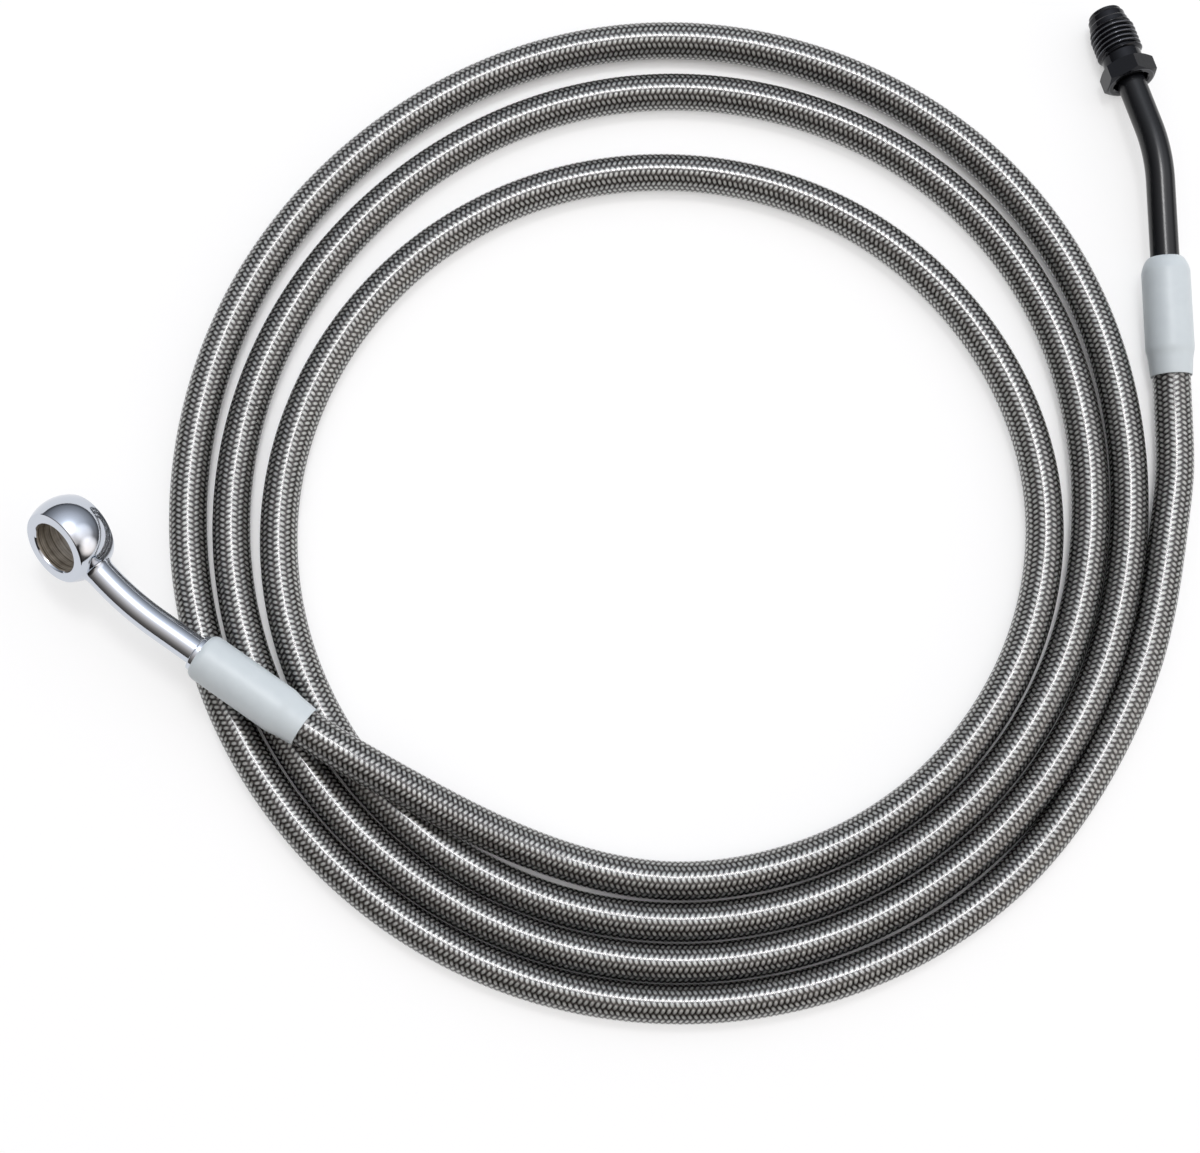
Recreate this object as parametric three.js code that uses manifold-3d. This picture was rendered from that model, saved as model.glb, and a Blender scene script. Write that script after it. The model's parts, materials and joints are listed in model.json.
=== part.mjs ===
// Braided clutch hose, lying coiled: a banjo eye at the inner end, a flare nut at the outer end.
// Millimetres, +Z up, origin on the floor under the middle of the whole part.
import * as THREE from 'three';
import { mergeVertices } from 'three/addons/utils/BufferGeometryUtils.js';
import Module from 'manifold-3d';

const wasm = await Module();
wasm.setup();

// Clearances
const layerGap = 0.3; // between the hose's layers
const fitGap = 0.3; // between metal pieces that seat on each other
const sleeveGap = 0.15; // between a shrunk sleeve and what it grips
const brazeGap = 0.15; // between the tube and its socket in the eye
const nutGap = 0.3; // between the loose nut and the tube

// Hose, from its clear cover inwards
const hoseRadius = 3.75;
const coverWall = 0.4;
const braidWall = 0.45;
const linerWall = 0.7;
const hoseSides = 8;

// Coil, around the layout's origin: the distance of the hose from the coil's middle
// at each eighth of a turn, anticlockwise from the front, one row for each turn
const coilStartDegrees = 270;
const coilRadii = [
  [72.2, 74.2, 75.6, 73.6, 72.8, 74.4, 77.3, 79.0],
  [80.1, 82.0, 84.8, 90.2, 90.5, 87.6, 86.9, 86.8],
  [87.9, 89.8, 92.6, 99.8, 102.0, 98.5, 95.6, 94.6],
  [95.6, 97.6],
];
const stationsPerEighth = 3;

// The hose between each sleeve and the coil: x, y, and the lift above where it lies
const banjoRun = [
  [-53.3, -53.3, 6.65],
  [-35.9, -62.2, 2.15],
  [-18.5, -68.9, 0],
];
const flareRun = [
  [84.5, -48.8, 0],
  [95.2, -25.5, 0],
  [100.8, 0, 0],
  [102.2, 9.5, 0],
  [102.5, 18.0, 0],
];

// Where each end lies in the layout
const banjoTail = new THREE.Vector3(-69.96, -43.43, 12.3); // thin end of the sleeve
const banjoCorner = new THREE.Vector3(-104.93, -19.18, 14.9); // where the tube's two straights meet
const banjoEyeCentre = new THREE.Vector3(-115.52, -7.23, 16.5);
const banjoBoreHint = new THREE.Vector3(-0.581, -0.586, 0.564);
const flareTail = new THREE.Vector3(102.41, 28.84, 4.4);
const flareCorner = new THREE.Vector3(101.2, 75.41, 8.3);
const flareTip = new THREE.Vector3(92.57, 107.69, 4.1);

// Steel tubes
const tubeRadius = 2.9;
const tubeWall = 0.95;
const tubeSides = 16;
const banjoBendRadius = 68;
const flareBendRadius = 40;
const bendSteps = 6;

// Banjo eye
const eyeBallRadius = 8.53;
const eyeWidth = 8.6;
const eyeBoreRadius = 5.2;
const eyeBossRadius = 3.4;
const eyeBossReach = 9.0; // from the bore's axis
const eyeSocketShelf = 0.9; // steel left between the bore and the tube's socket
const eyeSegments = 32;

// Crimped joint of hose and tube, measured from the sleeve's mouth towards the hose
const ferruleWall = 0.95;
const ferruleLength = 18.3;
const ferruleLip = 1.0; // how far the banjo end's ferrule stands out of its sleeve
const ferruleLipWall = 0.65;
const mouthChamfer = 0.4; // on the banjo end's ferrule and sleeve
const flangeDepth = 2.0;
const collarRadius = 3.5;
const collarThickness = 1.3;
const stemLength = 12.9;
const stemBarbs = 3;
const barbDepth = 0.15;
const spigotLength = 5.0;
const insertWall = 0.5;
const shoulderLength = 3.0; // rounded shoulder of the flare end
const shoulderPower = 1.45; // 1 is a quarter of an ellipse, and more is flatter
const shoulderSteps = 4;

// Shrunk sleeves
const sleeveWall = 0.4;
const sleeveLength = 24.4;
const sleeveStepGap = 1.0; // how far behind the ferrule it steps down
const sleeveNeckWall = 0.6;
const sleeveTailWall = 0.25;

// Flared end of the tube, and its nut, measured from the tip towards the hose
const flareRadius = 3.4;
const flareLip = 0.7;
const flareMouthWall = 0.3;
const pilotRadius = 3.85;
const pilotEnd = 2.3;
const threadRadius = 4.7;
const threadLead = 2.6; // length over which the first turns grow to the full thread
const threadEnd = 10.8;
const neckRadius = 4.1;
const hexFront = 13.0;
const hexBack = 16.9;
const hexSides = 6;
const hexAcrossFlats = 10;
const hexTurnDegrees = 27; // how far the loose nut is turned from a flat on top
const hexChamfer = 0.5;
const nutRecessRadius = 3.6;
const nutRecessDepth = 2.0;

const up = new THREE.Vector3(0, 0, 1);
const turnedSegments = 24;
const mergeDistance = 1e-4; // corners nearer than this are one

// Radii that follow from the sizes above
const coverBore = hoseRadius - coverWall;
const braidRadius = coverBore - layerGap;
const braidBore = braidRadius - braidWall;
const linerRadius = braidBore - layerGap;
const linerBore = linerRadius - linerWall;
const tubeBore = tubeRadius - tubeWall;
const ferruleBore = braidRadius + fitGap;
const ferruleRadius = ferruleBore + ferruleWall;
const flangeBore = tubeRadius + fitGap;
const chamberRadius = collarRadius + fitGap;
const stemRadius = linerBore - fitGap;
const spigotRadius = tubeBore - fitGap;
const insertBore = stemRadius - insertWall;
const sleeveBore = ferruleRadius + sleeveGap;
const sleeveRadius = sleeveBore + sleeveWall;
const sleeveNeckBore = hoseRadius + sleeveGap;
const eyeSocketFloor = eyeBoreRadius + eyeSocketShelf; // from the bore's axis

// Depths in the crimped joint that follow from the sizes above
const collarFront = flangeDepth + fitGap;
const collarBack = collarFront + collarThickness;
const chamberEnd = collarBack + fitGap;
const sleeveSeat = ferruleLength + sleeveGap;
const sleeveStep = ferruleLength + sleeveStepGap;
const coverEnd = ferruleLength + fitGap;
const nutFront = flareLip + nutGap; // from the flare's tip

const chrome = new THREE.MeshStandardMaterial({ color: 0xc8ccd4, roughness: 0.12, metalness: 1 });
const plainSteel = new THREE.MeshStandardMaterial({ color: 0xb4b6ba, roughness: 0.35, metalness: 1 });
const sleevePlastic = new THREE.MeshStandardMaterial({ color: 0xbec6ca, roughness: 0.5 });
const clearPlastic = new THREE.MeshStandardMaterial({ color: 0xdfe3e8, roughness: 0.08 });
const braidSteel = new THREE.MeshStandardMaterial({ color: 0x9a9ca2, roughness: 0.3, metalness: 1 });
const linerPlastic = new THREE.MeshStandardMaterial({ color: 0x2c2b2c, roughness: 0.5 });
const blackSteel = new THREE.MeshStandardMaterial({ color: 0x1b1c20, roughness: 0.35, metalness: 0.4 });

// A centreline that is swept from station to station, so each step falls on a chosen point
class Centreline extends THREE.Curve {
  constructor(stations) {
    super();
    this.stations = stations;
  }

  getPointAt(u, target = new THREE.Vector3()) {
    return target.copy(this.stations[Math.round(u * (this.stations.length - 1))]);
  }

  getTangentAt(u, target = new THREE.Vector3()) {
    const last = this.stations.length - 1;
    const here = Math.round(u * last);
    const ahead = this.stations[Math.min(here + 1, last)];
    return target.copy(ahead).sub(this.stations[Math.max(here - 1, 0)]).normalize();
  }
}

function regularOutline(radius, sides) {
  return Array.from({ length: sides }, (_, side) => {
    const angle = (2 * Math.PI * side) / sides;
    return new THREE.Vector2(radius * Math.cos(angle), radius * Math.sin(angle));
  });
}

// A pipe of an outer and a bore radius, swept along its stations
function sweptPipe(stations, radius, bore, sides) {
  const section = new THREE.Shape(regularOutline(radius, sides));
  section.holes.push(new THREE.Path(regularOutline(bore, sides).reverse()));
  return new THREE.ExtrudeGeometry(section, {
    steps: stations.length - 1,
    bevelEnabled: false,
    extrudePath: new Centreline(stations),
  });
}

// A ring turned about local Z from a closed outline of [radius, depth] corners
function turned(corners, segments = turnedSegments) {
  const outline = corners.map(([radius, depth]) => new THREE.Vector2(radius, depth));
  if (THREE.ShapeUtils.isClockWise(outline)) outline.reverse();
  outline.push(outline[0].clone());
  return new THREE.LatheGeometry(outline, segments).rotateX(Math.PI / 2);
}

// Corners along a rounded shoulder, from its end on the depth axis to its end on the radius axis
function shoulderCorners(radius, depth, overRadius, overDepth) {
  return Array.from({ length: shoulderSteps + 1 }, (_, step) => {
    const angle = (Math.PI / 2) * (step / shoulderSteps);
    return [
      radius + overRadius * Math.sin(angle) ** shoulderPower,
      depth - overDepth * Math.cos(angle) ** shoulderPower,
    ];
  });
}

function toSolid(geometry) {
  const bare = geometry.clone();
  bare.deleteAttribute('normal');
  bare.deleteAttribute('uv');
  const merged = mergeVertices(bare, mergeDistance);
  return new wasm.Manifold(new wasm.Mesh({
    numProp: 3,
    vertProperties: Float32Array.from(merged.attributes.position.array),
    triVerts: Uint32Array.from(merged.index.array),
  }));
}

function toGeometry(solid) {
  const { numProp, vertProperties, triVerts } = solid.getMesh();
  const geometry = new THREE.BufferGeometry();
  const corners = new THREE.InterleavedBuffer(vertProperties, numProp);
  geometry.setAttribute('position', new THREE.InterleavedBufferAttribute(corners, 3, 0));
  geometry.setIndex([...triVerts]);
  const faceted = geometry.toNonIndexed();
  faceted.computeVertexNormals();
  return faceted;
}

function named(name, geometry, material) {
  const mesh = new THREE.Mesh(geometry, material);
  mesh.name = name;
  return mesh;
}

// A group whose local Z runs along one direction, and local X as near as it can to another
function placed(origin, alongZ, nearX, ...pieces) {
  const z = alongZ.clone().normalize();
  const y = z.clone().cross(nearX).normalize();
  const group = new THREE.Group();
  group.quaternion.setFromRotationMatrix(new THREE.Matrix4().makeBasis(y.clone().cross(z), y, z));
  group.position.copy(origin);
  group.add(...pieces);
  return group;
}

// Stations of a tube with two straights that meet in one round bend at a corner
function bentStations(start, corner, end, bendRadius) {
  const incoming = corner.clone().sub(start).normalize();
  const outgoing = end.clone().sub(corner).normalize();
  const bend = incoming.angleTo(outgoing);
  const inward = outgoing.clone().addScaledVector(incoming, -Math.cos(bend)).normalize();
  const bendStart = corner.clone().addScaledVector(incoming, -bendRadius * Math.tan(bend / 2));
  const arc = Array.from({ length: bendSteps + 1 }, (_, step) => {
    const angle = (bend * step) / bendSteps;
    return bendStart.clone()
      .addScaledVector(incoming, bendRadius * Math.sin(angle))
      .addScaledVector(inward, bendRadius * (1 - Math.cos(angle)));
  });
  return [start, ...arc, end];
}

// A crimped end: its sleeve's mouth, the way from there into the hose, and points along that way
function crimpedEnd(tail, corner) {
  const intoHose = tail.clone().sub(corner).normalize();
  const mouth = tail.clone().addScaledVector(intoHose, -sleeveLength);
  return { intoHose, mouth, at: (depth) => mouth.clone().addScaledVector(intoHose, depth) };
}

// Coil

function coilStations() {
  const radii = coilRadii.flat();
  const radiusCurve = new THREE.SplineCurve(radii.map((radius, eighth) => new THREE.Vector2(eighth, radius)));
  const count = (radii.length - 1) * stationsPerEighth;
  const turnStep = (2 * Math.PI) / (coilRadii[0].length * stationsPerEighth);
  return Array.from({ length: count + 1 }, (_, station) => {
    const radius = radiusCurve.getPoint(station / count).y;
    const angle = THREE.MathUtils.degToRad(coilStartDegrees) + station * turnStep;
    return new THREE.Vector3(radius * Math.cos(angle), radius * Math.sin(angle), hoseRadius);
  });
}

function runStations(run) {
  return run.map(([x, y, lift]) => new THREE.Vector3(x, y, hoseRadius + lift));
}

// Hose layers

// The hose's stations, reaching into both crimped ends as far as the given depth
function hoseStations(banjoEnd, flareEnd, depth) {
  return [
    banjoEnd.at(depth),
    banjoTail,
    ...runStations(banjoRun),
    ...coilStations(),
    ...runStations(flareRun),
    flareTail,
    flareEnd.at(depth),
  ];
}

function makeHose(banjoEnd, flareEnd) {
  const coverStations = hoseStations(banjoEnd, flareEnd, coverEnd);
  const innerStations = hoseStations(banjoEnd, flareEnd, chamberEnd);
  return [
    named('hose_cover', sweptPipe(coverStations, hoseRadius, coverBore, hoseSides), clearPlastic),
    named('hose_braid', sweptPipe(innerStations, braidRadius, braidBore, hoseSides), braidSteel),
    named('hose_liner', sweptPipe(innerStations, linerRadius, linerBore, hoseSides), linerPlastic),
  ];
}

// Crimped joint pieces, about local Z from the sleeve's mouth towards the hose

function insertGeometry() {
  const barbs = [];
  const barbLength = stemLength / stemBarbs;
  for (let barb = 0; barb < stemBarbs; barb += 1) {
    const start = collarBack + barb * barbLength;
    barbs.push([stemRadius - barbDepth, start], [stemRadius, start + barbLength - barbDepth]);
  }
  return turned([
    [insertBore, collarFront - spigotLength],
    [spigotRadius, collarFront - spigotLength],
    [spigotRadius, collarFront],
    [collarRadius, collarFront],
    [collarRadius, collarBack],
    ...barbs,
    [stemRadius - barbDepth, collarBack + stemLength],
    [insertBore, collarBack + stemLength],
  ]);
}

// The ferrule's bore, from the hose side to its flange
function ferruleBoreCorners(flangeFront) {
  return [
    [ferruleRadius, ferruleLength],
    [ferruleBore, ferruleLength],
    [ferruleBore, chamberEnd],
    [chamberRadius, chamberEnd],
    [chamberRadius, flangeDepth],
    [flangeBore, flangeDepth],
    [flangeBore, flangeFront],
  ];
}

function lippedFerruleGeometry() {
  return turned([
    [flangeBore + ferruleLipWall, -ferruleLip],
    [flangeBore + ferruleLipWall, 0],
    [ferruleRadius - mouthChamfer, 0],
    [ferruleRadius, mouthChamfer],
    ...ferruleBoreCorners(-ferruleLip),
  ]);
}

function shoulderedFerruleGeometry() {
  const front = sleeveWall + 2 * sleeveGap;
  const overRadius = ferruleRadius - flangeBore - sleeveGap;
  return turned([
    ...shoulderCorners(flangeBore + sleeveGap, shoulderLength, overRadius, shoulderLength - front),
    ...ferruleBoreCorners(front),
  ]);
}

// The sleeve behind the ferrule, where it steps down onto the hose
function sleeveTailCorners() {
  return [
    [sleeveRadius, sleeveStep],
    [sleeveNeckBore + sleeveNeckWall, sleeveStep + sleeveWall],
    [sleeveNeckBore + sleeveTailWall, sleeveLength],
    [sleeveNeckBore, sleeveLength],
    [sleeveNeckBore, sleeveStep],
    [sleeveBore, sleeveSeat],
  ];
}

function openSleeveGeometry() {
  return turned([
    [sleeveRadius - mouthChamfer, 0],
    [sleeveRadius, mouthChamfer],
    ...sleeveTailCorners(),
    [sleeveBore, mouthChamfer],
    [sleeveBore - mouthChamfer, 0],
  ]);
}

function shoulderedSleeveGeometry() {
  const mouthBore = tubeRadius + sleeveGap;
  const mouthRadius = mouthBore + sleeveWall;
  const outside = shoulderCorners(mouthRadius, shoulderLength, sleeveRadius - mouthRadius, shoulderLength);
  const inside = shoulderCorners(mouthBore, shoulderLength, sleeveBore - mouthBore, shoulderLength - sleeveWall);
  return turned([...outside, ...sleeveTailCorners(), ...inside.reverse(), [mouthBore, 0]]);
}

// Banjo eye: bore along local Z, tube along local X

function rod(radius, from, to, sides) {
  const length = to - from;
  return new THREE.CylinderGeometry(radius, radius, length, sides)
    .rotateZ(-Math.PI / 2)
    .translate(from + length / 2, 0, 0);
}

function eyeGeometry() {
  const halfWidth = eyeWidth / 2;
  const faceAngle = Math.asin(halfWidth / eyeBallRadius);
  const ballSteps = 8;
  const ball = Array.from({ length: ballSteps + 1 }, (_, step) => {
    const angle = faceAngle * ((2 * step) / ballSteps - 1);
    return [eyeBallRadius * Math.cos(angle), eyeBallRadius * Math.sin(angle)];
  });
  const ring = toSolid(turned([[eyeBoreRadius, halfWidth], [eyeBoreRadius, -halfWidth], ...ball], eyeSegments));
  const boss = toSolid(rod(eyeBossRadius, eyeSocketFloor, eyeBossReach, turnedSegments));
  const socket = toSolid(rod(tubeRadius + brazeGap, eyeSocketFloor, eyeBossReach + eyeWidth, turnedSegments));
  const passage = toSolid(rod(tubeBore, 0, eyeBossReach, tubeSides));
  return toGeometry(ring.add(boss).subtract(socket).subtract(passage));
}

// Flared tube and its nut, about local Z from the tip towards the hose

// The flare, as a ring that overlaps the tube's wall behind the mouth
function flareRingGeometry() {
  const insideWall = tubeRadius - tubeWall / 2;
  const coneEnd = flareLip + flareRadius - insideWall;
  return turned([
    [flareRadius - flareMouthWall, 0],
    [flareRadius, 0],
    [flareRadius, flareLip],
    [insideWall, coneEnd],
    [insideWall, flareLip],
  ]);
}

function makeFlareTube(flareEnd) {
  const backward = flareCorner.clone().sub(flareTip).normalize();
  const cutEnd = flareTip.clone().addScaledVector(backward, flareLip);
  const stations = bentStations(flareEnd.at(flangeDepth), flareCorner, cutEnd, flareBendRadius);
  const pipe = toSolid(sweptPipe(stations, tubeRadius, tubeBore, tubeSides));
  const ring = named('flare', flareRingGeometry(), blackSteel);
  placed(flareTip, backward, up, ring).updateMatrixWorld();
  const flare = toSolid(ring.geometry.applyMatrix4(ring.matrixWorld));
  return named('flare_tube', toGeometry(pipe.add(flare)), blackSteel);
}

function nutGeometry() {
  const bore = tubeRadius + nutGap;
  const seatRadius = flareRadius - nutGap + nutGap * Math.SQRT2;
  const flatRadius = hexAcrossFlats / 2;
  const blankRadius = flatRadius / Math.cos(Math.PI / hexSides);
  const turnedNut = toSolid(turned([
    [pilotRadius, nutFront],
    [pilotRadius, pilotEnd],
    [threadRadius, pilotEnd + threadLead],
    [threadRadius, threadEnd],
    [neckRadius, threadEnd + threadRadius - neckRadius],
    [neckRadius, hexFront],
    [flatRadius - hexChamfer / 2, hexFront],
    [blankRadius, hexFront + hexChamfer],
    [blankRadius, hexBack - hexChamfer],
    [flatRadius - hexChamfer / 2, hexBack],
    [nutRecessRadius, hexBack],
    [nutRecessRadius, hexBack - nutRecessDepth],
    [bore, hexBack - nutRecessDepth - nutRecessRadius + bore],
    [bore, nutFront + seatRadius - bore],
    [seatRadius, nutFront],
  ]));
  const hexLength = 2 * hexBack;
  const hexBar = new THREE.CylinderGeometry(blankRadius, blankRadius, hexLength, hexSides)
    .rotateX(Math.PI / 2)
    .rotateZ(THREE.MathUtils.degToRad(hexTurnDegrees));
  return toGeometry(turnedNut.intersect(toSolid(hexBar)));
}

// Assembly

const banjoEnd = crimpedEnd(banjoTail, banjoCorner);
const flareEnd = crimpedEnd(flareTail, flareCorner);
const eyeToTube = banjoCorner.clone().sub(banjoEyeCentre).normalize();
const boreAxis = banjoBoreHint.clone().addScaledVector(eyeToTube, -banjoBoreHint.dot(eyeToTube));

const banjoStations = bentStations(
  banjoEyeCentre.clone().addScaledVector(eyeToTube, eyeSocketFloor + fitGap),
  banjoCorner,
  banjoEnd.at(flangeDepth),
  banjoBendRadius,
);

const layout = new THREE.Group();
layout.add(
  ...makeHose(banjoEnd, flareEnd),
  named('banjo_tube', sweptPipe(banjoStations, tubeRadius, tubeBore, tubeSides), chrome),
  placed(banjoEyeCentre, boreAxis, eyeToTube, named('banjo_eye', eyeGeometry(), chrome)),
  placed(
    banjoEnd.mouth,
    banjoEnd.intoHose,
    up,
    named('banjo_insert', insertGeometry(), plainSteel),
    named('banjo_ferrule', lippedFerruleGeometry(), plainSteel),
    named('banjo_sleeve', openSleeveGeometry(), sleevePlastic),
  ),
  placed(
    flareEnd.mouth,
    flareEnd.intoHose,
    up,
    named('flare_insert', insertGeometry(), plainSteel),
    named('flare_ferrule', shoulderedFerruleGeometry(), plainSteel),
    named('flare_sleeve', shoulderedSleeveGeometry(), sleevePlastic),
  ),
  makeFlareTube(flareEnd),
  placed(flareTip, flareCorner.clone().sub(flareTip), up, named('flare_nut', nutGeometry(), blackSteel)),
);

const part = new THREE.Group();
part.add(layout);
part.updateMatrixWorld(true);
const extent = new THREE.Box3().setFromObject(layout, true);
const middle = extent.getCenter(new THREE.Vector3());
layout.position.set(-middle.x, -middle.y, -extent.min.z);

export default part;
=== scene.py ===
import bpy
import bmesh
import json
import math
import numpy as np
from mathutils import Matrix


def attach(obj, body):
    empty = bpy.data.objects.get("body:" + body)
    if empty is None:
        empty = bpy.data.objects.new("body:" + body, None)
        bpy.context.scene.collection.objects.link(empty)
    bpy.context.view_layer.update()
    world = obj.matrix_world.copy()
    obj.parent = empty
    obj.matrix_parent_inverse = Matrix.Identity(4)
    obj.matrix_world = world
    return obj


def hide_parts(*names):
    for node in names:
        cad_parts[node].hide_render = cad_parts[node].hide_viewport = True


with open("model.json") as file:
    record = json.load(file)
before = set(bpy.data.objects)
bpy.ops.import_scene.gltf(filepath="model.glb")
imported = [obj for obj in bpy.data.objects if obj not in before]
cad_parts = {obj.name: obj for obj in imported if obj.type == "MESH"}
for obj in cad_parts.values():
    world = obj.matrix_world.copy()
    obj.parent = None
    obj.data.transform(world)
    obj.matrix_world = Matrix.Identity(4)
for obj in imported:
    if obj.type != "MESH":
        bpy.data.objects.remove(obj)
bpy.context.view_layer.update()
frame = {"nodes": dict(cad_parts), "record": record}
mm = 0.001

# camera, as the photograph sees the coil: almost straight down, leaning a little to the front
view = {
    "elevation": 79.0,      # degrees above the floor
    "distance": 415.4,      # mm to the floor at the picture's middle
    "aim": (-4.78, -16.21), # mm, the floor point at the picture's middle
    "lens": 62.1,           # mm
    "sensor": 36.0,         # mm
}


def addObject(name, data):
    added = bpy.data.objects.new(name, data)
    bpy.context.scene.collection.objects.link(added)
    return added


def addCamera():
    tilt = math.radians(90 - view["elevation"])
    camera = bpy.data.cameras.new("productCamera")
    camera.sensor_fit = "HORIZONTAL"
    camera.sensor_width = view["sensor"]
    camera.lens = view["lens"]
    holder = addObject("productCamera", camera)
    back = view["distance"] * math.sin(tilt)
    holder.location = (view["aim"][0] * mm, (view["aim"][1] - back) * mm,
                       view["distance"] * math.cos(tilt) * mm)
    holder.rotation_euler = (tilt, 0, 0)
    bpy.context.scene.camera = holder


addCamera()
print("camera placed")

# the hose's route in mm about the coil's middle, as it is laid out in the CAD source
route = {
    "coilMiddle": (8.443, -4.655, 0.008),  # in the row frame
    "hoseRadius": 3.75,
    "coilStart": 270.0,     # degrees
    "eighths": [
        72.2, 74.2, 75.6, 73.6, 72.8, 74.4, 77.3, 79.0,
        80.1, 82.0, 84.8, 90.2, 90.5, 87.6, 86.9, 86.8,
        87.9, 89.8, 92.6, 99.8, 102.0, 98.5, 95.6, 94.6,
        95.6, 97.6,
    ],
    "stationsPerEighth": 3,
    "banjoRun": [(-53.3, -53.3, 6.65), (-35.9, -62.2, 2.15), (-18.5, -68.9, 0)],
    "flareRun": [(84.5, -48.8, 0), (95.2, -25.5, 0), (100.8, 0, 0), (102.2, 9.5, 0), (102.5, 18.0, 0)],
    "banjoTail": (-69.96, -43.43, 12.3),
    "banjoCorner": (-104.93, -19.18, 14.9),
    "banjoEye": (-115.52, -7.23, 16.5),
    "banjoBore": (-0.581, -0.586, 0.564),
    "flareTail": (102.41, 28.84, 4.4),
    "flareCorner": (101.2, 75.41, 8.3),
    "flareTip": (92.57, 107.69, 4.1),
    "sleeveLength": 24.4,
    "step": 1.5,            # mm between the rings of a swept tube
    "splinePoints": 20,     # points of the spline for each listed one
}


def unit(vector):
    return np.asarray(vector, float) / np.linalg.norm(vector)


def rowPoint(layoutPoint):
    return np.asarray(layoutPoint, float) + np.asarray(route["coilMiddle"])


def catmullRom(values, place):
    # smooth value between listed ones, with the end ones repeated
    index = min(int(place), len(values) - 2)
    t = place - index
    a, b, c, d = (values[min(max(index + k, 0), len(values) - 1)] for k in (-1, 0, 1, 2))
    slopeIn, slopeOut = (c - a) / 2, (d - b) / 2
    return ((2 * b - 2 * c + slopeIn + slopeOut) * t ** 3
            + (-3 * b + 3 * c - 2 * slopeIn - slopeOut) * t ** 2 + slopeIn * t + b)


def coilStations():
    eighths = route["eighths"]
    count = (len(eighths) - 1) * route["stationsPerEighth"]
    stations = []
    for station in range(count + 1):
        radius = catmullRom(eighths, station / route["stationsPerEighth"])
        angle = math.radians(route["coilStart"] + station * 45 / route["stationsPerEighth"])
        stations.append((radius * math.cos(angle), radius * math.sin(angle), route["hoseRadius"]))
    return stations


def runStations(run):
    return [(x, y, route["hoseRadius"] + lift) for x, y, lift in run]


def crimpedEnd(tail, corner):
    # the sleeve's mouth and the way from there into the hose
    intoHose = unit(np.subtract(tail, corner))
    return np.asarray(tail) - intoHose * route["sleeveLength"], intoHose


banjoMouth, banjoIntoHose = crimpedEnd(route["banjoTail"], route["banjoCorner"])
flareMouth, flareIntoHose = crimpedEnd(route["flareTail"], route["flareCorner"])


def hoseStations(depth):
    points = [banjoMouth + banjoIntoHose * depth, route["banjoTail"]]
    points += runStations(route["banjoRun"]) + coilStations() + runStations(route["flareRun"])
    points += [route["flareTail"], flareMouth + flareIntoHose * depth]
    return np.array([rowPoint(p) for p in points])


def smoothLine(points, step):
    # one natural cubic spline through the points, by the length between them, cut into even steps
    chord = np.concatenate([[0], np.cumsum(np.linalg.norm(np.diff(points, axis=0), axis=1))])
    gap = np.diff(chord)
    count = len(points)
    matrix = np.eye(count)
    right = np.zeros((count, 3))
    for i in range(1, count - 1):
        matrix[i, i - 1:i + 2] = gap[i - 1], 2 * (gap[i - 1] + gap[i]), gap[i]
        right[i] = 6 * ((points[i + 1] - points[i]) / gap[i] - (points[i] - points[i - 1]) / gap[i - 1])
    bend = np.linalg.solve(matrix, right)
    fine = np.linspace(0, chord[-1], route["splinePoints"] * count)
    i = np.clip(np.searchsorted(chord, fine, side="right") - 1, 0, count - 2)
    a = ((chord[i + 1] - fine) / gap[i])[:, None]
    b = 1 - a
    width = (gap[i] ** 2 / 6)[:, None]
    line = a * points[i] + b * points[i + 1] + width * ((a ** 3 - a) * bend[i] + (b ** 3 - b) * bend[i + 1])
    line[:, 2] = np.maximum(line[:, 2], route["hoseRadius"])    # the hose lies on the floor, not in it
    return evenSteps(line, step)


def evenSteps(line, step):
    travelled = np.concatenate([[0], np.cumsum(np.linalg.norm(np.diff(line, axis=0), axis=1))])
    count = max(2, int(round(travelled[-1] / step)) + 1)
    wanted = np.linspace(0, travelled[-1], count)
    return np.stack([np.interp(wanted, travelled, line[:, k]) for k in range(3)], axis=1)


def lineLength(line):
    return float(np.linalg.norm(np.diff(line, axis=0), axis=1).sum())


def steadyFrames(line, startSide=(0, 0, -1)):
    # directions across the line that never twist about it
    along = np.gradient(line, axis=0)
    along /= np.linalg.norm(along, axis=1)[:, None]
    side = np.zeros_like(line)
    side[0] = unit(np.asarray(startSide) - along[0] * np.dot(startSide, along[0]))
    for i in range(1, len(line)):
        carried = side[i - 1] - along[i] * np.dot(side[i - 1], along[i])
        side[i] = unit(carried)
    return along, side, np.cross(along, side)


def ringSpokes(side, other, sides, turn=0.0):
    # the directions to the corners of a ring, or of one ring for each point of a line
    angles = (np.linspace(0, 2 * math.pi, sides, endpoint=False) + turn)[:, None]
    return np.cos(angles) * side[..., None, :] + np.sin(angles) * other[..., None, :]


# small tools for meshes
def newObject(name, vertices, faces, material, smooth=True):
    mesh = bpy.data.meshes.new(name)
    faces = faces if isinstance(faces, list) else faces.tolist()
    mesh.from_pydata(np.asarray(vertices).tolist(), [], faces)
    mesh.materials.append(material)
    if smooth:
        mesh.shade_smooth()
    return addObject(name, mesh)


def ringFaces(rings, sides, closed):
    # quads between neighbouring rings; a closed run joins its last ring to its first
    ring = np.arange(rings if closed else rings - 1)[:, None]
    side = np.arange(sides)[None, :]
    after, across = (ring + 1) % rings, (side + 1) % sides
    quads = [ring * sides + side, ring * sides + across, after * sides + across, after * sides + side]
    return np.stack(np.broadcast_arrays(*quads), axis=-1).reshape(-1, 4)


def sharpen(piece, degrees):
    # edges that turn more than this stay crisp
    work = bmesh.new()
    work.from_mesh(piece.data)
    bmesh.ops.recalc_face_normals(work, faces=work.faces)
    for edge in work.edges:
        edge.smooth = len(edge.link_faces) == 2 and edge.calc_face_angle(0) < math.radians(degrees)
    work.to_mesh(piece.data)
    work.free()
    return piece


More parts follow.
